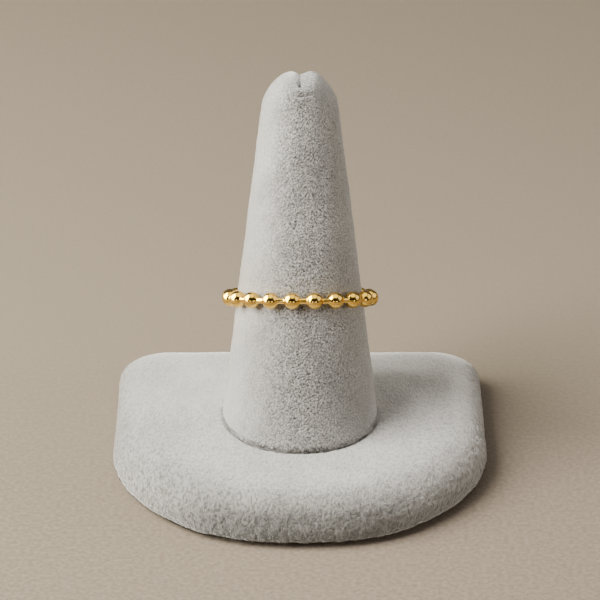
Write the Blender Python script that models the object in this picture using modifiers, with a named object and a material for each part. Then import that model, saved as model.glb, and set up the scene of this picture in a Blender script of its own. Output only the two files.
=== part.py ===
"""A beaded ring on the velvet-covered finger that displays it.

Metres, +Z up. The origin is the centre of the base's underside, which stands on the table.
The front of the display, where the base is rounded, faces -Y, and the finger leans back, towards +Y.
Lengths along the finger are measured on its own axis, from the base's top.
"""

import math

import bmesh
import bpy
from mathutils import Euler, Matrix, Vector

MM = 0.001

# The ring: polished balls soldered to a round wire.
INNER_DIAMETER = 17.3 * MM
BEAD_DIAMETER = 2.3 * MM
BEAD_PITCH = 3.08 * MM
WIRE_DIAMETER = 0.85 * MM
BEAD_TURN = math.radians(-6.3)

# Where the ring sits on the finger, and how far its back hangs below square.
SEAT_HEIGHT = 16.4 * MM
RING_DROOP = math.radians(6.6)
RING_CLEARANCE = 0.2 * MM

# The finger: a straight taper that ends in a dome, with the cloth pinched in at the tip.
FINGER_LENGTH = 47.5 * MM
FINGER_TAPER = 0.128
FINGER_LEAN = math.radians(16.4)
DOME_HEIGHT = 5.0 * MM
DOME_FULLNESS = 2.45
PINCH_WIDTH = 2.4 * MM
PINCH_DEPTH = 0.8 * MM

# The base: straight at the back and sides, half an ellipse at the front, with a soft upper edge.
BASE_WIDTH = 51.4 * MM
BASE_STRAIGHT = 25.2 * MM
BASE_ROUND = 23.7 * MM
BASE_CORNER = 4.6 * MM
BASE_THICKNESS = 5.8 * MM
TOP_EDGE_REACH = 5.2 * MM
TOP_EDGE_DROP = 4.6 * MM
BOTTOM_EDGE = 0.4 * MM
FOOT_SETBACK = 3.2 * MM
FOOT_GAP = 0.3 * MM

# How finely the round shapes are cut.
BEAD_SIDES = 16
BEAD_BANDS = 10
WIRE_SIDES = 10
WIRE_STEPS_PER_BEAD = 6
FINGER_SIDES = 48
DOME_STEPS = 8
FRONT_STEPS = 36
CORNER_STEPS = 6
EDGE_STEPS = 6
SHARP_ANGLE = math.radians(35)

# Colour, roughness and metallic value of each material.
GOLD = ("gold", (0.95, 0.66, 0.27), 0.12, 1.0)
FINGER_VELVET = ("finger_velvet", (0.53, 0.52, 0.50), 0.95, 0.0)
BASE_VELVET = ("base_velvet", (0.58, 0.57, 0.55), 0.95, 0.0)


def clear_scene():
    """Removes what the start-up file holds."""
    for old in list(bpy.data.objects):
        bpy.data.objects.remove(old, do_unlink=True)


def new_collection(name):
    collection = bpy.data.collections.new(name)
    bpy.context.scene.collection.children.link(collection)
    return collection


def new_material(name, color, roughness, metallic):
    material = bpy.data.materials.new(name)
    material.use_nodes = True
    shader = material.node_tree.nodes["Principled BSDF"]
    shader.inputs["Base Color"].default_value = (*color, 1.0)
    shader.inputs["Roughness"].default_value = roughness
    shader.inputs["Metallic"].default_value = metallic
    material.diffuse_color = (*color, 1.0)
    return material


def new_mesh(name, shape, material=None):
    """Turns a bmesh into a mesh, shaded smooth apart from its sharp edges, and frees the bmesh."""
    mesh = bpy.data.meshes.new(name)
    shape.to_mesh(mesh)
    shape.free()
    mesh.shade_smooth()
    mesh.set_sharp_from_angle(angle=SHARP_ANGLE)
    if material:
        mesh.materials.append(material)
    return mesh


def new_object(name, mesh, collection):
    made = bpy.data.objects.new(name, mesh)
    collection.objects.link(made)
    return made


def new_cutter(name, mesh, collection):
    """An object that only cuts, or is joined to, another one."""
    cutter = new_object(name, mesh, collection)
    cutter.hide_render = True
    cutter.display_type = "WIRE"
    return cutter


def boolean(target, operation, other):
    """Joins other to target, or cuts it away. Other is one object, or a collection of them."""
    modifier = target.modifiers.new(operation.title(), "BOOLEAN")
    modifier.operation = operation
    modifier.solver = "EXACT"
    if isinstance(other, bpy.types.Collection):
        modifier.operand_type = "COLLECTION"
        modifier.collection = other
    else:
        modifier.object = other


# Sizes that follow from those above.

BEAD_RADIUS = BEAD_DIAMETER / 2
RING_RADIUS = INNER_DIAMETER / 2 + BEAD_RADIUS
BEAD_COUNT = round(2 * math.pi * RING_RADIUS / BEAD_PITCH)
SLOPE_LENGTH = math.hypot(1.0, FINGER_TAPER)
# The balls at the front and at the back clear the finger's slope alike, by the clearance.
SEAT_RADIUS = (
    RING_RADIUS * math.cos(RING_DROOP) * (1 - (FINGER_TAPER * math.tan(RING_DROOP)) ** 2)
    - (BEAD_RADIUS + RING_CLEARANCE) * SLOPE_LENGTH
)
RING_SHIFT = RING_RADIUS * FINGER_TAPER * math.tan(RING_DROOP)
BASE_MIDDLE = (BASE_ROUND - BASE_STRAIGHT) / 2
FOOT = Vector((0.0, BASE_MIDDLE + FOOT_SETBACK, BASE_THICKNESS))
LEAN = Euler((-FINGER_LEAN, 0.0, 0.0)).to_matrix().to_4x4()
FINGER_FRAME = Matrix.Translation(FOOT) @ LEAN


def finger_radius(height):
    """Radius of the finger's straight taper at this height along its axis."""
    return SEAT_RADIUS + FINGER_TAPER * (SEAT_HEIGHT - height)


def base_outline(inset):
    """Points of the base's outline, anticlockwise from the left end of the round front.

    The outline is shrunk by inset on the left, right, front and back.
    """
    half = BASE_WIDTH / 2
    points = []
    for step in range(FRONT_STEPS + 1):
        turn = math.pi * (1 + step / FRONT_STEPS)
        points.append((half * math.cos(turn), BASE_ROUND * math.sin(turn)))
    for side, first_turn in ((1, 0.0), (-1, math.pi / 2)):
        for step in range(CORNER_STEPS + 1):
            turn = first_turn + math.pi / 2 * step / CORNER_STEPS
            points.append((
                side * (half - BASE_CORNER) + BASE_CORNER * math.cos(turn),
                BASE_STRAIGHT - BASE_CORNER + BASE_CORNER * math.sin(turn),
            ))
    half_depth = (BASE_STRAIGHT + BASE_ROUND) / 2
    across = 1 - inset / half
    along = 1 - inset / half_depth
    return [(x * across, (y + BASE_MIDDLE) * along) for x, y in points]


def base_sections():
    """(height, inset) of each level of the base, from the table up."""
    levels = [(0.0, BOTTOM_EDGE), (BOTTOM_EDGE, 0.0)]
    shoulder = BASE_THICKNESS - TOP_EDGE_DROP
    for step in range(EDGE_STEPS + 1):
        turn = math.pi / 2 * step / EDGE_STEPS
        height = shoulder + TOP_EDGE_DROP * math.sin(turn)
        levels.append((height, TOP_EDGE_REACH * (1 - math.cos(turn))))
    return levels


def make_base(collection):
    """The padded base: its outline lofted through the levels, with flat ends."""
    shape = bmesh.new()
    rows = [
        [shape.verts.new((x, y, height)) for x, y in base_outline(inset)]
        for height, inset in base_sections()
    ]
    for lower, upper in zip(rows, rows[1:]):
        for i in range(len(lower)):
            j = (i + 1) % len(lower)
            shape.faces.new((lower[i], lower[j], upper[j], upper[i]))
    shape.faces.new(reversed(rows[0]))
    shape.faces.new(rows[-1])
    return new_object("display_base", new_mesh("base", shape, new_material(*BASE_VELVET)), collection)


def finger_profile():
    """(radius, height) points down the finger's side, from the tip to below the base's top."""
    dome_start = FINGER_LENGTH - DOME_HEIGHT
    points = []
    for step in range(DOME_STEPS + 1):
        turn = math.pi / 2 * step / DOME_STEPS
        rise = math.cos(turn) ** (2 / DOME_FULLNESS)
        out = math.sin(turn) ** (2 / DOME_FULLNESS)
        points.append((finger_radius(dome_start) * out, dome_start + DOME_HEIGHT * rise))
    below = -finger_radius(0.0) * math.tan(FINGER_LEAN) - BASE_THICKNESS
    for height in (SEAT_HEIGHT, below):
        points.append((finger_radius(height), height))
    points.append((0.0, below))
    return points


def make_finger(collection, cutters):
    """The leaning finger, turned about its own axis, cut level at the base and pinched at the tip."""
    shape = bmesh.new()
    line = [shape.verts.new((radius, 0.0, height)) for radius, height in finger_profile()]
    for upper, lower in zip(line, line[1:]):
        shape.edges.new((upper, lower))
    profile = new_mesh("finger_profile", shape, new_material(*FINGER_VELVET))
    finger = new_object("display_finger", profile, collection)
    finger.matrix_world = FINGER_FRAME
    turned = finger.modifiers.new("Turned", "SCREW")
    turned.steps = turned.render_steps = FINGER_SIDES
    turned.use_merge_vertices = True
    turned.merge_threshold = 0.00001

    block = bmesh.new()
    bmesh.ops.create_cube(block, size=1.0)
    wide = 4 * finger_radius(0.0)
    bmesh.ops.scale(block, vec=(wide, wide, FINGER_LENGTH), verts=block.verts)
    level = new_cutter("foot_cutter", new_mesh("foot_cutter", block), cutters)
    level.location = FOOT + Vector((0.0, 0.0, FOOT_GAP - FINGER_LENGTH / 2))
    boolean(finger, "DIFFERENCE", level)

    # A square bar turned on its edge, whose lower half cuts a V.
    bar = bmesh.new()
    bmesh.ops.create_cube(bar, size=math.sqrt(0.5))
    bmesh.ops.rotate(bar, matrix=Matrix.Rotation(math.pi / 4, 3, "Y"), verts=bar.verts)
    long = 4 * finger_radius(FINGER_LENGTH)
    bmesh.ops.scale(bar, vec=(PINCH_WIDTH, long, 2 * PINCH_DEPTH), verts=bar.verts)
    pinch = new_cutter("pinch_cutter", new_mesh("pinch_cutter", bar), cutters)
    pinch.matrix_world = FINGER_FRAME @ Matrix.Translation((0.0, 0.0, FINGER_LENGTH))
    boolean(finger, "DIFFERENCE", pinch)
    return finger


def make_ring(collection, beads):
    """The ring: a round wire hoop with the balls fused to it, hung on the finger."""
    bpy.ops.mesh.primitive_torus_add(
        major_radius=RING_RADIUS,
        minor_radius=WIRE_DIAMETER / 2,
        major_segments=BEAD_COUNT * WIRE_STEPS_PER_BEAD,
        minor_segments=WIRE_SIDES,
    )
    ring = bpy.context.object
    ring.name = "beaded_ring"
    ring.data.name = "wire"
    for holder in list(ring.users_collection):
        holder.objects.unlink(ring)
    collection.objects.link(ring)
    ring.data.shade_smooth()
    ring.data.materials.append(new_material(*GOLD))

    seat = FINGER_FRAME @ Matrix.Translation((0.0, 0.0, SEAT_HEIGHT))
    droop = Matrix.Rotation(-RING_DROOP, 4, "X")
    ring.matrix_world = seat @ droop @ Matrix.Translation((0.0, RING_SHIFT, 0.0))

    ball = bmesh.new()
    bmesh.ops.create_uvsphere(ball, u_segments=BEAD_SIDES, v_segments=BEAD_BANDS, radius=BEAD_RADIUS)
    # The ball's poles lie on the wire.
    bmesh.ops.rotate(ball, matrix=Matrix.Rotation(math.pi / 2, 3, "X"), verts=ball.verts)
    ball_mesh = new_mesh("ball", ball)
    front = -math.pi / 2
    for number in range(BEAD_COUNT):
        turn = front + BEAD_TURN + 2 * math.pi * number / BEAD_COUNT
        out = Matrix.Translation((RING_RADIUS, 0.0, 0.0))
        bead = new_cutter(f"bead_{number + 1:02d}", ball_mesh, beads)
        bead.matrix_world = ring.matrix_world @ Matrix.Rotation(turn, 4, "Z") @ out
    boolean(ring, "UNION", beads)
    return ring


def main():
    clear_scene()
    display = new_collection("beaded_ring_on_display")
    cutters = new_collection("cutters")
    beads = new_collection("beads")
    make_base(display)
    make_finger(display, cutters)
    make_ring(display, beads)


main()
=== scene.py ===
"""The looks of a beaded ring on its velvet display stand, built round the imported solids.

Metres, +Z up, in the solids' frame. The camera looks along +Y and down at the display's front.
"""

import math

import bpy
import numpy as np
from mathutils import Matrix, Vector, noise


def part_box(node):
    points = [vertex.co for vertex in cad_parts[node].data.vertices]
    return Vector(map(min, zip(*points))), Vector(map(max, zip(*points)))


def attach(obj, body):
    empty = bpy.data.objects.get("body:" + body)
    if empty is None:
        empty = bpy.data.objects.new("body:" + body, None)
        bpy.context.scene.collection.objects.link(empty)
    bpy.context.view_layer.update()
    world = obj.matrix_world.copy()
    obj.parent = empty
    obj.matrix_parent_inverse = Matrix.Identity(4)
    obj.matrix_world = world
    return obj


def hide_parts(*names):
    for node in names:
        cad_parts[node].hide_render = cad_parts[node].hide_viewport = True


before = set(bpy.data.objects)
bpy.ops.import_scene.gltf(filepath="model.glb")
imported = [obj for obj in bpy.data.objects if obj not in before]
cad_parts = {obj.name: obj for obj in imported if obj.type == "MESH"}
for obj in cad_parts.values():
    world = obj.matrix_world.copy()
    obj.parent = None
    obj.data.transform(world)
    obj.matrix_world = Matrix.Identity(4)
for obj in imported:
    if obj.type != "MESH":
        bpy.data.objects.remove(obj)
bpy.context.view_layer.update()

MM = 0.001

# The finger and the base under their cloth, as the solids have them.
FINGER_LENGTH = 47.5 * MM
FINGER_TAPER = 0.128
FINGER_LEAN = math.radians(16.4)
SEAT_HEIGHT = 16.4 * MM
SEAT_RADIUS = 8.372 * MM
DOME_HEIGHT = 5.0 * MM
DOME_FULLNESS = 2.45
FOOT_SETBACK = 3.2 * MM
BASE_STRAIGHT = 25.2 * MM
BASE_ROUND = 23.7 * MM
BASE_CORNER = 4.6 * MM
TOP_EDGE_REACH = 5.2 * MM
TOP_EDGE_DROP = 4.6 * MM

# The cloth: how thick its pile is, and how closely its skin is cut.
PILE = 0.33 * MM
SKIN_STEP = 0.205 * MM
BASE_SKIN_STEP = 0.235 * MM
FOOT_ROLL = 0.36 * MM
FOOT_RISE = 0.14 * MM
FOOT_FLARE = 0.50 * MM
SEAM_DEPTH = 0.34 * MM
SEAM_WIDTH = 0.21 * MM
BEAD_PRESS = 0.03 * MM
FRONT_PLUMP = 0.92 * MM
SHOULDER_PLUMP = 0.50 * MM
LEFT_PLUMP = 0.25 * MM

# How far the cloth's lines run on out of sight, and where its lower edges change.
FINGER_LINE_END = -5.0 * MM
FOOT_FLARE_HEIGHT = 3.5 * MM
BASE_INNER_SHARE = 0.66
BASE_PILE_LIFT = 0.25 * MM
RECESS_TOP = 0.95 * MM

# The base's face where its cloth is turned under: (inset, height) in millimetres, from below.
TURNED_UNDER = [(3.4, 0.0), (1.9, 0.0), (1.8, 0.5), (1.2, 0.76), (0.5, 0.82), (0.12, 0.98), (0.0, 1.35)]

# The loose hairs along the cloth's lower edges, with their shortest and longest in millimetres.
HAIR_WIDTH = 0.12 * MM
HAIR_ROOT_DEPTH = 0.05 * MM
HAIR_NAP = 0.2
FOOT_HAIRS = 1400
FOOT_HAIR_LENGTHS = (0.30, 0.65)
FOOT_HAIR_SEED = 5
EDGE_HAIRS = 1500
EDGE_HAIR_LENGTHS = (0.15, 0.42)
EDGE_HAIR_SEED = 6
# How dark the base's edge hairs are: near black, painted shade along its lower edge.
EDGE_HAIR_SHADE = 0.10

# Each velvet's light and dark colour, pit and tip shares for its painted shade in the pits and
# painted highlights on the tips, tuft scale, stretch and slant.
FINGER_CLOTH = (
    (0.385, 0.370, 0.345), (0.165, 0.158, 0.148), 0.08, 1.5, 6600.0, (1.0, 1.0, 2.0), math.radians(42.0),
)
BASE_CLOTH = (
    (0.380, 0.364, 0.335), (0.255, 0.244, 0.224), 0.58, 1.1, 3000.0, (1.0, 2.4, 1.0), 0.0,
)

# The ring's finish.
SOLDER_FILLET = 0.28 * MM
WIRE_RADIUS = 0.425 * MM
RING_STEPS_PER_BEAD = 40
RING_SIDES = 40

# The camera of the photograph.
CAMERA_ELEVATION = math.radians(26.0)
CAMERA_DISTANCE = 0.5
CAMERA_TARGET = Vector((0.0, 2.35 * MM, 23.45 * MM))
CAMERA_LENS = 218.2
SENSOR_WIDTH = 36.0
NEAREST_SEEN = 0.01
FLOOR_SIZE = 8.0

base_low, base_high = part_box("display_base")
BASE_HALF_WIDTH = (base_high[0] - base_low[0]) / 2
BASE_HALF_DEPTH = (base_high[1] - base_low[1]) / 2
BASE_TOP = base_high[2]
BASE_MIDDLE = (BASE_ROUND - BASE_STRAIGHT) / 2
FOOT = np.array((0.0, BASE_MIDDLE + FOOT_SETBACK, BASE_TOP))
RIGHT = np.array((1.0, 0.0, 0.0))
BACK = np.array((0.0, math.cos(FINGER_LEAN), -math.sin(FINGER_LEAN)))
ALONG = np.array((0.0, math.sin(FINGER_LEAN), math.cos(FINGER_LEAN)))


# Helpers for meshes.

def smoothstep(value, low, high):
    """0 up to low and 1 from high on, with a smooth rise between them."""
    share = np.clip((value - low) / (high - low), 0.0, 1.0)
    return share * share * (3 - 2 * share)


def resample(line, step, count=None):
    """Points at equal distances along a polyline, about a step apart or as many as the count."""
    lengths = np.linalg.norm(np.diff(line, axis=0), axis=1)
    along = np.concatenate([[0.0], np.cumsum(lengths)])
    if count is None:
        count = max(2, int(round(along[-1] / step)) + 1)
    wanted = np.linspace(0.0, along[-1], count)
    return np.stack([np.interp(wanted, along, line[:, k]) for k in range(line.shape[1])], axis=1)


def grid_normals(grid):
    """Outward unit normals of rows of points, each row a loop."""
    across = np.roll(grid, -1, axis=1) - np.roll(grid, 1, axis=1)
    up = np.gradient(grid, axis=0)
    normals = np.cross(across, up)
    return normals / np.maximum(np.linalg.norm(normals, axis=2, keepdims=True), 1e-12)


def mark(mesh, shade, nap):
    """Gives each point of a cloth mesh the two values that its material reads.

    They are shade, painted shade from 0 where it is darkest, as in a gap, crease, seam or recess,
    to 1 where none is painted, and nap, from 0 where the pile is brushed flat to 1 where its tufts
    stand apart.
    """
    for title, values in (("shade", shade), ("nap", nap)):
        mesh.attributes.new(title, "FLOAT", "POINT").data.foreach_set("value", values.reshape(-1))


def put_in_scene(name, data):
    """An object of that name with the mesh, light or camera given, in the scene."""
    made = bpy.data.objects.new(name, data)
    bpy.context.scene.collection.objects.link(made)
    return made


def skin(name, grid, shade, nap, material):
    """A closed smooth object from rows of points, each row a loop, capped at both ends."""
    rows, columns, _ = grid.shape
    index = np.arange(rows * columns).reshape(rows, columns)
    beside = np.roll(index, -1, axis=1)
    quads = np.stack([index[:-1], beside[:-1], beside[1:], index[1:]], axis=-1).reshape(-1, 4)
    faces = quads.tolist()
    faces.append(index[0][::-1].tolist())
    faces.append(index[-1].tolist())
    mesh = bpy.data.meshes.new(name)
    mesh.from_pydata(grid.reshape(-1, 3).tolist(), [], faces)
    mesh.shade_smooth()
    mark(mesh, shade, nap)
    mesh.materials.append(material)
    return put_in_scene(name, mesh)


def hairs(name, roots, tips, shade, material):
    """Short loose hairs along an edge of the cloth, each a closed three-sided spike with its painted shade.
    """
    along = tips - roots
    side = np.cross(along, (0.3, 0.2, 0.93))
    side *= HAIR_WIDTH / 2 / np.linalg.norm(side, axis=1, keepdims=True)
    up = np.cross(along, side)
    up *= HAIR_WIDTH / 2 / np.linalg.norm(up, axis=1, keepdims=True)
    corners = [roots + math.cos(a) * side + math.sin(a) * up for a in (0.0, 2.1, 4.2)]
    points = np.stack(corners + [tips], axis=1).reshape(-1, 3)
    spike = np.array([(0, 1, 3), (1, 2, 3), (2, 0, 3), (0, 2, 1)])
    faces = (4 * np.arange(len(roots))[:, None, None] + spike).reshape(-1, 3)
    mesh = bpy.data.meshes.new(name)
    mesh.from_pydata(points.tolist(), [], faces.tolist())
    mesh.shade_smooth()
    mark(mesh, np.repeat(shade, 4), np.full(len(points), HAIR_NAP))
    mesh.materials.append(material)
    return put_in_scene(name, mesh)


def grain(grid, size, octaves=2, offset=0.0):
    """Noise of about -1 to 1 at each point, with lumps of that size along X, Y and Z."""
    size = np.broadcast_to(np.asarray(size, dtype=float), (3,))
    flat = (grid.reshape(-1, 3) / size + offset).tolist()
    values = [noise.fractal(Vector(p), 1.0, 2.0, octaves) for p in flat]
    return np.array(values).reshape(grid.shape[:-1])


# Materials.

def new_material(name):
    """A node material, its shader, and functions that add a node and join two sockets."""
    material = bpy.data.materials.new(name)
    material.use_nodes = True
    tree = material.node_tree
    shader = tree.nodes["Principled BSDF"]

    def add(kind, **settings):
        node = tree.nodes.new(kind)
        for key, value in settings.items():
            if key in node.inputs:
                node.inputs[key].default_value = value
            else:
                setattr(node, key, value)
        return node

    return material, shader, add, tree.links.new


def ramp(add, stops):
    """A colour ramp node with (place, colour) stops."""
    node = add("ShaderNodeValToRGB")
    elements = node.color_ramp.elements
    while len(elements) < len(stops):
        elements.new(0.5)
    for element, (place, color) in zip(elements, stops):
        element.position = place
        element.color = (*color, 1.0)
    return node


def velvet(name, light, dark, pit_share, tip_share, tuft_scale, stretch, slant, sheen=1.0):
    """Short-pile velvet: fine combed tufts with painted shade in the pits between them, brushed patches, a
    soft sheen.

    The painted shade in the pits is the dark colour times pit_share, and the painted highlight on
    the tufts' tips the light one times tip_share.
    The tufts are longer along an axis by stretch, and lean from +Z towards +X by the slant.
    """
    material, shader, add, join = new_material(name)
    place = add("ShaderNodeTexCoord")
    comb = add("ShaderNodeMapping", vector_type="TEXTURE")
    comb.inputs["Scale"].default_value = stretch
    comb.inputs["Rotation"].default_value = (0.0, slant, 0.0)
    join(place.outputs["Object"], comb.inputs["Vector"])
    tufts = add("ShaderNodeTexNoise", Scale=tuft_scale, Detail=2.0, Roughness=0.6, Distortion=0.4)
    fibres = add("ShaderNodeTexNoise", Scale=tuft_scale * 2.4, Detail=1.0)
    patches = add("ShaderNodeTexNoise", Scale=190.0, Detail=4.0, Roughness=0.62)
    for node in (tufts, fibres, patches):
        join(comb.outputs["Vector"], node.inputs["Vector"])

    nap = add("ShaderNodeAttribute", attribute_name="nap")
    # Painted shade in the pits between the tufts, and a painted highlight on their tips, where the pile
    # stands open.
    pit = [pit_share * value for value in dark]
    tip = [tip_share * value for value in light]
    gaps = ramp(add, [(0.36, pit), (0.45, dark), (0.54, light), (0.65, tip)])
    join(tufts.outputs["Fac"], gaps.inputs["Fac"])
    tint = add("ShaderNodeMix", data_type="RGBA")
    tint.inputs["A"].default_value = (*light, 1.0)
    join(gaps.outputs["Color"], tint.inputs["B"])
    join(nap.outputs["Fac"], tint.inputs["Factor"])
    brushed = ramp(add, [(0.34, (0.80, 0.80, 0.80)), (0.66, (1.08, 1.08, 1.08))])
    join(patches.outputs["Fac"], brushed.inputs["Fac"])
    # The mesh's shade attribute darkens the colour with its painted shade, down to 0.14 of it.
    shade = add("ShaderNodeAttribute", attribute_name="shade")
    shade_ramp = ramp(add, [(0.0, (0.14, 0.13, 0.12)), (1.0, (1.0, 1.0, 1.0))])
    join(shade.outputs["Fac"], shade_ramp.inputs["Fac"])
    color = tint.outputs["Result"]
    for other in (brushed, shade_ramp):
        mixed = add("ShaderNodeMix", data_type="RGBA", blend_type="MULTIPLY")
        mixed.inputs["Factor"].default_value = 1.0
        join(color, mixed.inputs["A"])
        join(other.outputs["Color"], mixed.inputs["B"])
        color = mixed.outputs["Result"]
    join(color, shader.inputs["Base Color"])

    height = add("ShaderNodeMath", operation="MULTIPLY_ADD")
    join(fibres.outputs["Fac"], height.inputs[0])
    height.inputs[1].default_value = 0.35
    join(tufts.outputs["Fac"], height.inputs[2])
    bump = add("ShaderNodeBump", Distance=0.34 * MM)
    join(nap.outputs["Fac"], bump.inputs["Strength"])
    join(height.outputs["Value"], bump.inputs["Height"])
    join(bump.outputs["Normal"], shader.inputs["Normal"])
    shader.inputs["Roughness"].default_value = 0.95
    shader.inputs["Specular IOR Level"].default_value = 0.15
    shader.inputs["Sheen Weight"].default_value = sheen
    shader.inputs["Sheen Roughness"].default_value = 0.5
    shader.inputs["Sheen Tint"].default_value = (1.0, 0.97, 0.92, 1.0)
    return material


def polished_gold(name):
    """Polished gold plate, with faint clouding from the polishing wheel."""
    material, shader, add, join = new_material(name)
    place = add("ShaderNodeTexCoord")
    haze = add("ShaderNodeTexNoise", Scale=900.0, Detail=3.0)
    scuffs = add("ShaderNodeTexNoise", Scale=2600.0, Detail=2.0)
    for node in (haze, scuffs):
        join(place.outputs["Object"], node.inputs["Vector"])
    rough = add("ShaderNodeMapRange")
    rough.inputs["To Min"].default_value = 0.05
    rough.inputs["To Max"].default_value = 0.13
    join(haze.outputs["Fac"], rough.inputs["Value"])
    join(rough.outputs["Result"], shader.inputs["Roughness"])
    tint = ramp(add, [(0.35, (0.90, 0.558, 0.11)), (0.65, (0.95, 0.615, 0.15))])
    join(haze.outputs["Fac"], tint.inputs["Fac"])
    join(tint.outputs["Color"], shader.inputs["Base Color"])
    bump = add("ShaderNodeBump", Strength=0.05, Distance=0.02 * MM)
    join(scuffs.outputs["Fac"], bump.inputs["Height"])
    join(bump.outputs["Normal"], shader.inputs["Normal"])
    shader.inputs["Metallic"].default_value = 1.0
    return material


def speckled_paper(name):
    """Beige backdrop paper, finely speckled in front, smoother where it runs back, and darker there with
    painted shade.
    """
    material, shader, add, join = new_material(name)
    place = add("ShaderNodeTexCoord")
    specks = add("ShaderNodeTexNoise", Scale=1500.0, Detail=2.0, Roughness=0.6)
    join(place.outputs["Object"], specks.inputs["Vector"])
    tint = ramp(add, [(0.34, (0.178, 0.142, 0.108)), (0.66, (0.245, 0.196, 0.151))])
    join(specks.outputs["Fac"], tint.inputs["Fac"])
    axes = add("ShaderNodeSeparateXYZ")
    join(place.outputs["Object"], axes.inputs["Vector"])
    # Painted shade: the paper is darkened towards the back, to 0.85 of its colour.
    back = add("ShaderNodeMapRange")
    back.inputs["From Min"].default_value = 0.05
    back.inputs["From Max"].default_value = 0.17
    join(axes.outputs["Y"], back.inputs["Value"])
    painted_falloff = add("ShaderNodeMix", data_type="RGBA", blend_type="MULTIPLY")
    painted_falloff.inputs["B"].default_value = (0.85, 0.85, 0.85, 1.0)
    join(back.outputs["Result"], painted_falloff.inputs["Factor"])
    away = add("ShaderNodeMapRange")
    away.inputs["From Min"].default_value = -0.02
    away.inputs["From Max"].default_value = 0.04
    away.inputs["To Max"].default_value = 0.8
    join(axes.outputs["Y"], away.inputs["Value"])
    calmed = add("ShaderNodeMix", data_type="RGBA")
    calmed.inputs["B"].default_value = (0.213, 0.170, 0.1305, 1.0)
    join(away.outputs["Result"], calmed.inputs["Factor"])
    join(tint.outputs["Color"], calmed.inputs["A"])
    join(calmed.outputs["Result"], painted_falloff.inputs["A"])
    join(painted_falloff.outputs["Result"], shader.inputs["Base Color"])
    shader.inputs["Roughness"].default_value = 0.9
    shader.inputs["Specular IOR Level"].default_value = 0.2
    return material


# The ring.

def ring_facts():
    """The ring's centre, its axes, its radius, its balls' radius and their angles, from its solid."""
    points = np.array([tuple(v.co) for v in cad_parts["beaded_ring"].data.vertices])
    _, _, axes = np.linalg.svd(points - points.mean(axis=0), full_matrices=False)
    normal = axes[2] * math.copysign(1.0, axes[2][2])
    side = RIGHT - normal * (RIGHT @ normal)
    side /= np.linalg.norm(side)
    frame_axes = np.stack([side, np.cross(normal, side), normal])
    local = points @ frame_axes.T
    middle = (local.min(axis=0) + local.max(axis=0)) / 2
    local -= middle
    ball = local[:, 2].max()
    radius = np.hypot(local[:, 0], local[:, 1]).max() - ball
    crowns = local[local[:, 2] > ball * 0.995]
    turns = np.sort(np.degrees(np.arctan2(crowns[:, 1], crowns[:, 0])))
    angles = [group.mean() for group in np.split(turns, np.nonzero(np.diff(turns) > 1.0)[0] + 1)]
    return middle @ frame_axes, frame_axes, radius, ball, np.radians(angles)


RING_CENTRE, RING_AXES, RING_RADIUS, BALL_RADIUS, BALL_ANGLES = ring_facts()


def ring_thickness(along):
    """Radius of the ring's section, this far along it from a ball's middle: ball, solder, wire."""
    reach = BALL_RADIUS + SOLDER_FILLET
    height = WIRE_RADIUS + SOLDER_FILLET
    fillet_at = math.sqrt(reach**2 - height**2)
    ball_ends = fillet_at * BALL_RADIUS / reach
    on_ball = np.sqrt(np.maximum(BALL_RADIUS**2 - along**2, 0.0))
    on_fillet = height - np.sqrt(np.maximum(SOLDER_FILLET**2 - (along - fillet_at) ** 2, 0.0))
    thickness = np.where(along < ball_ends, on_ball, on_fillet)
    return np.where(along > fillet_at, WIRE_RADIUS, thickness)


def make_ring():
    """One skin swept round the ring, as thick as the ball, solder or wire is at each place."""
    pitch = 2 * math.pi / len(BALL_ANGLES)
    offsets = (np.arange(RING_STEPS_PER_BEAD) / RING_STEPS_PER_BEAD - 0.5) * pitch
    turns = (BALL_ANGLES[:1] + pitch * np.arange(len(BALL_ANGLES)))[:, None] + offsets[None]
    turns = turns.reshape(-1)
    offsets = np.tile(offsets, len(BALL_ANGLES))
    thickness = ring_thickness(RING_RADIUS * np.abs(np.sin(offsets)))
    on_wire = smoothstep(np.abs(RING_RADIUS * np.sin(offsets)), BALL_RADIUS * 0.8, BALL_RADIUS * 1.1)
    middle = RING_RADIUS * (np.cos(offsets) * (1 - on_wire) + on_wire)
    around = 2 * math.pi * np.arange(RING_SIDES) / RING_SIDES
    reach = middle[:, None] + thickness[:, None] * np.cos(around)[None]
    rise = thickness[:, None] * np.sin(around)[None]
    local = np.stack([
        reach * np.cos(turns)[:, None],
        reach * np.sin(turns)[:, None],
        rise,
    ], axis=-1)
    points = RING_CENTRE + local @ RING_AXES
    rows, columns, _ = points.shape
    index = np.arange(rows * columns).reshape(rows, columns)
    ahead = np.roll(index, -1, axis=0)
    quads = np.stack([
        index, ahead, np.roll(ahead, -1, axis=1), np.roll(index, -1, axis=1),
    ], axis=-1).reshape(-1, 4)
    mesh = bpy.data.meshes.new("ring_of_balls")
    mesh.from_pydata(points.reshape(-1, 3).tolist(), [], quads.tolist())
    mesh.shade_smooth()
    mesh.materials.append(polished_gold("polished_gold"))
    ring = put_in_scene("ring_of_balls", mesh)
    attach(ring, "root")
    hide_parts("beaded_ring")


# The finger.

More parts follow.
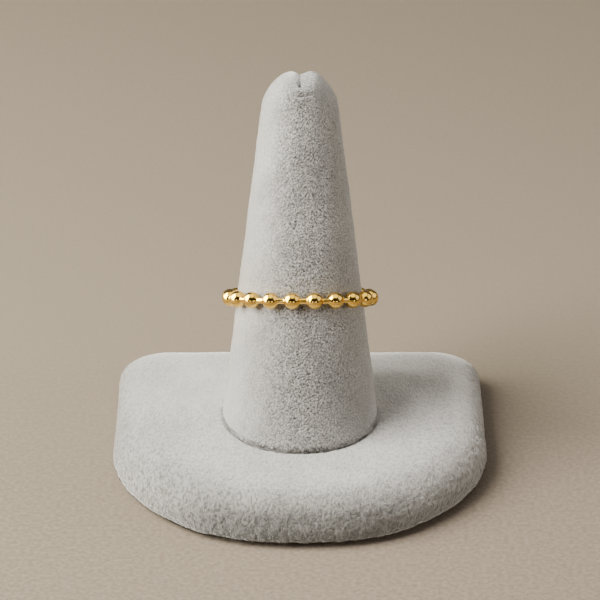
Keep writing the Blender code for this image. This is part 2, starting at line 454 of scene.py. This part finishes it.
def finger_line():
    """(radius, height) of the cloth's face down the finger's side, from the tip, closely spaced."""
    dome_start = FINGER_LENGTH - DOME_HEIGHT
    turn = np.linspace(0.0, math.pi / 2, 300)
    dome_radius = SEAT_RADIUS + FINGER_TAPER * (SEAT_HEIGHT - dome_start)
    radius = dome_radius * np.sin(turn) ** (2 / DOME_FULLNESS)
    height = dome_start + DOME_HEIGHT * np.cos(turn) ** (2 / DOME_FULLNESS)
    side = np.linspace(dome_start, FINGER_LINE_END, 300)[1:]
    radius = np.concatenate([radius, SEAT_RADIUS + FINGER_TAPER * (SEAT_HEIGHT - side)])
    height = np.concatenate([height, side])
    slope = np.stack([np.gradient(radius), np.gradient(height)], axis=1)
    slope /= np.linalg.norm(slope, axis=1, keepdims=True)
    line = np.stack([radius - slope[:, 1] * PILE, height + slope[:, 0] * PILE], axis=1)
    line[0] = (0.0, FINGER_LENGTH + PILE)
    return line


def tip_creases(local):
    """How far the cloth is moved out where it is gathered at the tip, and how open it is to light: 1, less
    the painted shade in its slit, pit and fold.

    The sizes in it are millimetres: x to the right, y to the back and s up the finger's axis.
    """
    x, y, s = local[..., 0] / MM, local[..., 1] / MM, local[..., 2] / MM
    near_top = smoothstep(s, 45.6, 47.3)
    in_front = smoothstep(-y, -2.6, -1.0)
    ahead = smoothstep(-y, -0.4, 1.8)
    cleft = (0.52 - 0.22 * ahead) * np.exp(-((x - 0.1) / (0.90 + 0.35 * ahead)) ** 2)
    cleft = cleft * near_top * smoothstep(-y, -4.6, -2.8)
    frayed = 0.45 + 1.3 * np.abs(grain(local, 0.55 * MM, 2, 4.0))
    line = 0.12 * np.exp(-(x / 0.30) ** 2) * smoothstep(s, 46.0, 46.6) * in_front * frayed
    slanted = x - 0.05 + 0.30 * (s - 46.40)
    pit = 0.44 * np.exp(-(slanted / 0.32) ** 2 - ((s - 46.40) / 0.40) ** 2) * in_front * frayed ** 0.5
    bend = 0.10 * (x - 0.3) ** 2 / 4
    fold = 0.38 * np.exp(-((s - 44.95 - bend) / 0.18) ** 2) * np.exp(-((x - 0.25) / 0.90) ** 2)
    puff = 0.12 * np.exp(-((s - 45.55 - bend) / 0.40) ** 2) * np.exp(-((x - 0.3) / 1.5) ** 2)
    puff += 0.10 * np.exp(-((s - 44.50 - bend) / 0.28) ** 2) * np.exp(-((x - 0.3) / 1.1) ** 2)
    drawn = 0.40 * np.exp(-((np.abs(x) - 4.3) / 1.7) ** 2) * smoothstep(s, 42.0, 45.6)
    lobes = 0.15 * np.exp(-((x - 2.3) / 1.1) ** 2)
    moved = -cleft - line - pit - drawn + (puff - fold) * in_front + lobes * near_top
    # Painted shade in the slit, the pit and the fold.
    painted_crease_shade = np.clip(line * 1.6 + pit * 1.6 + fold * in_front * 3.2 * frayed ** 1.2, 0.0, 0.85)
    return moved * MM, 1 - painted_crease_shade


def clear_of_balls(points, normals):
    """Draws the pile in where a ball of the ring presses on it."""
    ball_centres = [
        RING_CENTRE + RING_RADIUS * np.array((math.cos(a), math.sin(a), 0.0)) @ RING_AXES
        for a in BALL_ANGLES
    ]
    wanted = BALL_RADIUS + BEAD_PRESS
    for centre in ball_centres:
        for _ in range(4):
            gap = np.linalg.norm(points - centre, axis=2)
            points = points - normals * np.maximum(wanted - gap, 0.0)[..., None]
    return points


def foot_flare(towards_front):
    """How far the cloth spreads at the finger's foot, by how nearly a place faces the front."""
    return FOOT_FLARE * smoothstep(towards_front, 0.2, 1.0)


def make_finger():
    """The finger's velvet skin, cut level and rolled under at its foot, and the loose hairs there."""
    line = finger_line()
    lengths = np.linalg.norm(np.diff(line, axis=0), axis=1)
    along = np.concatenate([[0.0], np.cumsum(lengths)])
    foot_radius = SEAT_RADIUS + FINGER_TAPER * SEAT_HEIGHT + PILE
    columns = int(round(2 * math.pi * foot_radius / SKIN_STEP))
    turn = 2 * math.pi * np.arange(columns) / columns
    rise = math.cos(FINGER_LEAN)
    dip = math.sin(FINGER_LEAN) * np.cos(turn)
    foot_height = -foot_radius * dip / (rise - FINGER_TAPER * dip)
    foot_along = np.interp(-foot_height, -line[:, 1], along)
    rows = int(round(foot_along.mean() / SKIN_STEP))
    share = np.linspace(1.0, 0.003, rows)[:, None]
    where = share * foot_along[None]
    radius = np.interp(where, along, line[:, 0])
    height = np.interp(where, along, line[:, 1])
    to_edge = foot_along[None] - where
    on_front = smoothstep(np.cos(turn), 0.0, 0.5)[None]
    foot_roll = FOOT_ROLL * (0.25 + 0.75 * on_front)
    roll = 1 - np.clip(to_edge / foot_roll, 0.0, 1.0)
    radius = radius - foot_roll * (1 - np.sqrt(1 - roll**2 * 0.98))
    radius = radius + foot_flare(np.cos(turn))[None] * smoothstep(-to_edge, -FOOT_FLARE_HEIGHT, 0.0)
    x = radius * np.sin(turn)[None]
    y = -radius * np.cos(turn)[None]
    local = np.stack([x, y, height], axis=-1)
    grid = FOOT + (0, 0, FOOT_RISE) + x[..., None] * RIGHT + y[..., None] * BACK + height[..., None] * ALONG
    normals = grid_normals(grid)
    lumps = 0.07 * MM * grain(grid, 5.0 * MM, 2) + 0.04 * MM * grain(grid, 1.1 * MM, 1, 7.0)
    tufts = 0.034 * MM * grain(grid, 0.42 * MM, 2, 3.0)
    calm = smoothstep(to_edge, 0.0, 1.0 * MM)
    creases, open_to_light = tip_creases(local)
    move = (lumps + tufts) * (0.4 + 0.6 * calm) + creases
    grid = grid + normals * move[..., None]
    ragged = 0.30 * MM * grain(grid, 0.6 * MM, 2, 11.0) * smoothstep(-to_edge, -0.9 * MM, 0.0)
    grid[..., 2] += ragged
    grid = clear_of_balls(grid, normals)
    # Painted shade along the foot's lower edge, where the finger meets the base: darkest in front, broken up
    # by noise.
    foot_shade_breaks = np.clip(0.9 + 0.9 * grain(grid, 0.6 * MM, 2, 17.0), 0.2, 1.0)
    painted_foot_shade = (0.25 + 0.63 * on_front) * foot_shade_breaks
    shade = open_to_light * (1 - painted_foot_shade * smoothstep(-to_edge, -0.36 * MM, -0.02 * MM))
    # The pile lies flatter on the left, the side the key lights, so the painted pits and tips show less
    # there than in the centre and on the right.
    nap = 0.30 + 0.70 * smoothstep(x / np.maximum(radius, MM), -0.85, 0.0)
    # Painted shade: the flat-pile left side, which the key lights, is a little darker than the rest.
    shade *= 0.95 + 0.05 * smoothstep(nap, 0.3, 1.0)
    # Painted shade on the lower front of the finger.
    facing = smoothstep(-y / np.maximum(radius, MM), 0.1, 0.8)
    shade *= 1 - 0.20 * facing * smoothstep(-height, -28.0 * MM, -8.0 * MM)
    finger = skin("finger_velvet", grid, shade, nap, velvet("finger_velvet_cloth", *FINGER_CLOTH))
    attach(finger, "root")
    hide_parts("display_finger")
    make_foot_hairs(grid, normals, on_front[0])


def make_foot_hairs(grid, normals, on_front):
    """Loose hairs out of the lowest rows of the finger's skin, dark in patches in front as painted shade
    along the seam.
    """
    chance = np.random.default_rng(FOOT_HAIR_SEED)
    row = chance.integers(1, 4, FOOT_HAIRS)
    column = chance.integers(0, grid.shape[1], FOOT_HAIRS)
    roots = grid[row, column] - normals[row, column] * HAIR_ROOT_DEPTH
    length = chance.uniform(*FOOT_HAIR_LENGTHS, (FOOT_HAIRS, 1)) * MM
    lean = 0.75 * normals[row, column] - 0.6 * ALONG + chance.normal(0.0, 0.38, (FOOT_HAIRS, 3))
    tips = roots + lean * length
    tips[:, 2] = np.maximum(tips[:, 2], BASE_TOP + 0.24 * MM)
    # Painted shade: the hairs in front darken in patches along the seam, less on the left, the side the key
    # lights.
    seam_shade_noise = grain(roots[:, None], 0.5 * MM, 2, 21.0)[:, 0] + chance.normal(0.0, 0.15, FOOT_HAIRS)
    # Less sheen, so that the painted shade on the hairs shows.
    frayed_cloth = velvet("finger_velvet_frayed", *FINGER_CLOTH, sheen=0.3)
    lit = 0.35 * smoothstep(-roots[:, 0], 1.0 * MM, 5.0 * MM)
    hair_shade = 1 - on_front[column] * (1 - np.clip(0.60 + lit + 1.8 * seam_shade_noise, 0.0, 1.0))
    foot = hairs("finger_foot_hairs", roots, tips, hair_shade, frayed_cloth)
    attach(foot, "root")


# The base.

def base_outline(columns):
    """Points of the base's outline, equally spaced, anticlockwise from the middle of its front."""
    front = np.linspace(1.5 * math.pi, 2 * math.pi, 400)
    half = [(BASE_HALF_WIDTH * math.cos(a), (BASE_ROUND + FRONT_PLUMP) * math.sin(a)) for a in front]
    for a in np.linspace(0.0, math.pi / 2, 60):
        half.append((
            BASE_HALF_WIDTH - BASE_CORNER + BASE_CORNER * math.cos(a),
            BASE_STRAIGHT - BASE_CORNER + BASE_CORNER * math.sin(a),
        ))
    half.append((0.0, BASE_STRAIGHT))
    half = np.array(half) + (0.0, BASE_MIDDLE)
    other = half[-2:0:-1] * (-1, 1)
    closed = np.concatenate([half, other, half[:1]])
    shoulder = np.exp(-(((np.abs(closed[:, 0]) - 12.0 * MM) / (7.0 * MM)) ** 2))
    left = np.exp(-(((closed[:, 0] + 15.5 * MM) / (7.0 * MM)) ** 2))
    closed[:, 1] -= (SHOULDER_PLUMP * shoulder + LEFT_PLUMP * left) * (closed[:, 1] < 0.0)
    return resample(closed, 1.0, columns + 1)[:-1]


def base_line():
    """(inset, height) of the base's face from under its edge, up and over to under the finger."""
    shoulder = BASE_TOP - TOP_EDGE_DROP
    under = [(reach * MM, rise * MM) for reach, rise in TURNED_UNDER]
    turn = np.linspace(0.0, math.pi / 2, 120)
    inset = TOP_EDGE_REACH * (1 - np.cos(turn))
    height = shoulder + TOP_EDGE_DROP * np.sin(turn)
    above = height > under[-1][1]
    inset, height = inset[above], height[above]
    inner = BASE_HALF_WIDTH * BASE_INNER_SHARE
    line = under + list(zip(inset, height)) + [(inner, BASE_TOP)]
    line = resample(np.array(line), BASE_SKIN_STEP)
    slope = np.gradient(line, axis=0)
    slope /= np.linalg.norm(slope, axis=1, keepdims=True)
    lift = BASE_PILE_LIFT * smoothstep(line[:, 1], 0.8 * MM, 1.2 * MM)[:, None]
    return line + np.stack([-slope[:, 1], slope[:, 0]], axis=1) * lift


def make_base():
    """The base's velvet skin, its outline at every inset and height of its face, and its edge's hairs."""
    perimeter = np.linalg.norm(np.diff(base_outline(400), axis=0), axis=1).sum()
    outline = base_outline(int(round(perimeter / (BASE_SKIN_STEP * 1.1))))
    line = base_line()
    on_left = smoothstep(-outline[:, 0], 7.0 * MM, 15.0 * MM)[None]
    tucked = smoothstep(-line[:, 1], -1.0 * MM, -0.9 * MM)[:, None]
    inset = line[:, :1] * (1 - 0.55 * on_left * tucked)
    grid = np.stack([
        outline[None, :, 0] * (1 - inset / BASE_HALF_WIDTH),
        outline[None, :, 1] * (1 - inset / BASE_HALF_DEPTH),
        np.repeat(line[:, 1:2], len(outline), axis=1),
    ], axis=-1)
    normals = grid_normals(grid)
    steep = smoothstep(1 - np.clip(normals[..., 2], 0.0, 1.0), 0.0, 0.34)
    lumps = 0.10 * MM * grain(grid, 7.0 * MM, 2)
    streaks = 0.05 * MM * np.abs(grain(grid, (0.9 * MM, 2.6 * MM, 0.9 * MM), 2, 5.0))
    swirl = grid + 0.5 * MM * np.stack([grain(grid, 2.2 * MM, 1, k * 9.0) for k in range(3)], axis=-1)
    clump = np.clip(np.abs(grain(swirl, 1.35 * MM, 2, 2.0)) * 3.0, 0.0, 1.0)
    lifted = smoothstep(grid[..., 2], 0.1 * MM, 1.2 * MM)
    move = lumps + streaks * (1 - steep) + 0.15 * MM * (clump - 0.5) * steep
    grid = grid + normals * (move * lifted)[..., None]
    from_foot = grid - FOOT
    beside = np.hypot(from_foot @ RIGHT, from_foot @ BACK)
    towards_front = -(from_foot @ BACK) / np.maximum(beside, MM)
    beside -= SEAT_RADIUS + FINGER_TAPER * (SEAT_HEIGHT - from_foot @ ALONG) + PILE
    beside -= foot_flare(towards_front)
    seam = np.exp(-((beside / SEAM_WIDTH) ** 2))
    broken = np.clip(0.95 + 0.9 * grain(grid, 0.7 * MM, 2, 13.0), 0.25, 1.5)
    sunk = 0.05 + 0.95 * smoothstep(towards_front, 0.05, 0.50)
    grid[..., 2] -= SEAM_DEPTH * seam * sunk * (0.6 + 0.4 * broken)
    grid[..., 2] = np.maximum(grid[..., 2], 0.0)
    # Painted shade on the base: darker low down, on the rim in front and on the right, on faces turned to
    # the front, in the gaps of the clumped pile on the rim, and along the seam round the finger's foot.
    low = smoothstep(-grid[..., 2], -4.5 * MM, -0.8 * MM)
    in_front = 0.4 + 0.6 * smoothstep(-outline[:, 1] / BASE_ROUND, 0.2, 0.8)[None]
    front_rim = (1 - smoothstep(line[:, 0], 3.0 * MM, 8.5 * MM))[:, None] * in_front
    across_front = np.roll(outline, -1, axis=0) - np.roll(outline, 1, axis=0)
    facing = smoothstep(across_front[:, 0] / np.linalg.norm(across_front, axis=1), 0.70, 0.98)[None]
    on_right = smoothstep(outline[:, 0], 0.0, 0.7 * BASE_HALF_WIDTH)[None]
    shade = (1 - (0.16 + 0.14 * facing + 0.12 * on_right) * front_rim) * (1 - 0.66 * low)
    shade *= 1 - steep * (0.08 + 0.42 * facing + 0.15 * on_right + 0.20 * (1 - clump))
    # Painted shade along the seam, darkest in front, broken up by noise.
    painted_seam_shade = (0.06 + 0.80 * smoothstep(towards_front, 0.0, 0.7)) * broken
    shade *= 1 - np.clip(painted_seam_shade * seam, 0.0, 0.95)
    # Painted shade: the recess under the edge is painted near black.
    shade *= smoothstep(grid[..., 2], 0.65 * MM, RECESS_TOP)
    nap = 0.60 + 0.35 * np.maximum(steep, 0.8 * front_rim)
    nap -= 0.25 * smoothstep(grid[..., 1], -2.0 * MM, 9.0 * MM)
    cloth = velvet("base_velvet_cloth", *BASE_CLOTH)
    # The recess and the hairs over it get this velvet without sheen, so that their painted shade stays dark.
    recess_shade_cloth = velvet("base_velvet_recess_shade", *BASE_CLOTH, sheen=0.0)
    base = skin("base_velvet", grid, shade, nap, cloth)
    base.data.materials.append(recess_shade_cloth)
    under_edge = np.repeat((line[1:, 1] < RECESS_TOP).astype(int), len(outline))
    base.data.polygons.foreach_set("material_index", np.concatenate([under_edge, [1, 0]]))
    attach(base, "root")
    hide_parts("display_base")
    make_edge_hairs(grid, normals, line, recess_shade_cloth)


def make_edge_hairs(grid, normals, line, material):
    """Loose hairs that hang from the rim over the base's recess, near black, as painted shade along the
    base's lower edge.
    """
    chance = np.random.default_rng(EDGE_HAIR_SEED)
    low_rows = np.nonzero((line[:, 0] < 0.3 * MM) & (line[:, 1] < 1.15 * MM))[0]
    row = chance.choice(low_rows, EDGE_HAIRS)
    column = chance.integers(0, grid.shape[1], EDGE_HAIRS)
    roots = grid[row, column] - normals[row, column] * HAIR_ROOT_DEPTH
    length = chance.uniform(*EDGE_HAIR_LENGTHS, (EDGE_HAIRS, 1)) * MM
    lean = 0.1 * normals[row, column] + (0.0, 0.0, -0.9) + chance.normal(0.0, 0.35, (EDGE_HAIRS, 3))
    tips = roots + lean * length
    tips[:, 2] = np.maximum(tips[:, 2], 0.04 * MM)
    edge = hairs("base_edge_hairs", roots, tips, np.full(EDGE_HAIRS, EDGE_HAIR_SHADE), material)
    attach(edge, "root")


# The set: floor, reflector cards, lights and camera.

def glow(name, color, strength):
    """An evenly shining surface, for the cards."""
    material, shader, _, _ = new_material(name)
    shader.inputs["Base Color"].default_value = (0.0, 0.0, 0.0, 1.0)
    shader.inputs["Specular IOR Level"].default_value = 0.0
    shader.inputs["Emission Color"].default_value = (*color, 1.0)
    shader.inputs["Emission Strength"].default_value = strength
    return material


def card(name, sides, heights, distance, material, round_top=False):
    """A curved card round the display that shows in the gold alone.

    Its left and right sides are degrees from straight in front, seen from the ring, and its lower and
    upper edges degrees above level.
    """
    across = np.linspace(0.0, 1.0, 25)
    up = np.linspace(0.0, 1.0, 13)
    azimuth = np.radians(sides[0] + (sides[1] - sides[0]) * across)[None]
    top = heights[1] * np.sin(math.pi * across) ** (0.6 if round_top else 0.0)
    elevation = np.radians(heights[0] + (top - heights[0])[None] * up[:, None])
    direction = np.stack([
        np.sin(azimuth) * np.cos(elevation),
        -np.cos(azimuth) * np.cos(elevation),
        np.sin(elevation),
    ], axis=-1)
    points = RING_CENTRE + direction * distance
    index = np.arange(points.shape[0] * points.shape[1]).reshape(points.shape[:2])
    quads = np.stack([index[:-1, :-1], index[:-1, 1:], index[1:, 1:], index[1:, :-1]], axis=-1)
    mesh = bpy.data.meshes.new(name)
    mesh.from_pydata(points.reshape(-1, 3).tolist(), [], quads.reshape(-1, 4).tolist())
    mesh.materials.append(material)
    made = put_in_scene(name, mesh)
    made.visible_camera = False
    made.visible_diffuse = False
    made.visible_shadow = False
    made.visible_transmission = False


def area_light(name, direction, distance, size, power, color):
    """A rectangular light that far from the camera's target in that direction, turned towards it."""
    light = bpy.data.lights.new(name, "AREA")
    light.shape = "RECTANGLE"
    light.size, light.size_y = size
    light.energy = power
    light.color = color
    made = put_in_scene(name, light)
    towards = Vector(direction).normalized()
    made.location = CAMERA_TARGET + towards * distance
    made.rotation_euler = towards.to_track_quat("Z", "Y").to_euler()
    return made


def make_set():
    """The paper floor, the cards that the gold reflects, the lights and the dim world."""
    bpy.ops.mesh.primitive_plane_add(size=FLOOR_SIZE)
    floor = bpy.context.object
    floor.name = "floor"
    floor.data.materials.append(speckled_paper("backdrop_paper"))

    card("softbox", (-128.0, -63.0), (0.0, 55.0), 0.50, glow("softbox_card", (0.97, 1.0, 0.42), 24.0))
    card("white_wall", (60.0, 120.0), (12.0, 55.0), 0.50, glow("wall_card", (1.0, 0.93, 0.80), 1.6))
    card("dark_opening", (-50.0, 52.0), (-3.0, 56.0), 0.48, glow("dark_card", (1.0, 0.8, 0.6), 0.035), True)
    card("lit_room", (-30.0, 27.0), (-2.0, 19.0), 0.46, glow("room_card", (1.0, 0.90, 0.74), 0.30), True)
    for name, side in (("left_lamp", -26.0), ("right_lamp", 21.5)):
        card(name, (side - 6.0, side + 6.0), (6.0, 18.0), 0.44, glow(name + "_card", (1.0, 0.96, 0.88), 3.0))
    card("ceiling", (-180.0, 180.0), (62.0, 90.0), 0.50, glow("ceiling_card", (0.97, 0.92, 0.46), 2.1))

    key = area_light("key", (-0.765, -0.215, 0.57), 0.60, (0.50, 0.50), 16.3, (1.0, 0.985, 0.96))
    back = area_light("back_left", (-0.70, 0.35, 0.42), 0.70, (0.7, 0.5), 0.7, (1.0, 0.985, 0.96))
    area_light("top", (0.0, 0.15, 1.0), 0.75, (0.8, 0.8), 1.0, (1.0, 0.98, 0.96))
    right = area_light("right", (0.97, -0.14, 0.045), 0.75, (0.4, 0.4), 7.2, (1.0, 0.94, 0.87))
    for light in (key, back, right):
        light.visible_glossy = False

    world = bpy.data.worlds.new("studio")
    world.use_nodes = True
    background = world.node_tree.nodes["Background"]
    background.inputs["Color"].default_value = (0.98, 0.98, 1.0, 1.0)
    background.inputs["Strength"].default_value = 0.118
    bpy.context.scene.world = world


def make_camera():
    """The camera, level sideways, above and in front of its target."""
    data = bpy.data.cameras.new("camera")
    data.lens = CAMERA_LENS
    data.sensor_width = SENSOR_WIDTH
    data.clip_start = NEAREST_SEEN
    camera = put_in_scene("camera", data)
    back = Vector((0.0, -math.cos(CAMERA_ELEVATION), math.sin(CAMERA_ELEVATION)))
    camera.location = CAMERA_TARGET + back * CAMERA_DISTANCE
    camera.rotation_euler = back.to_track_quat("Z", "Y").to_euler()
    bpy.context.scene.camera = camera


make_ring()
make_finger()
make_base()
make_set()
make_camera()
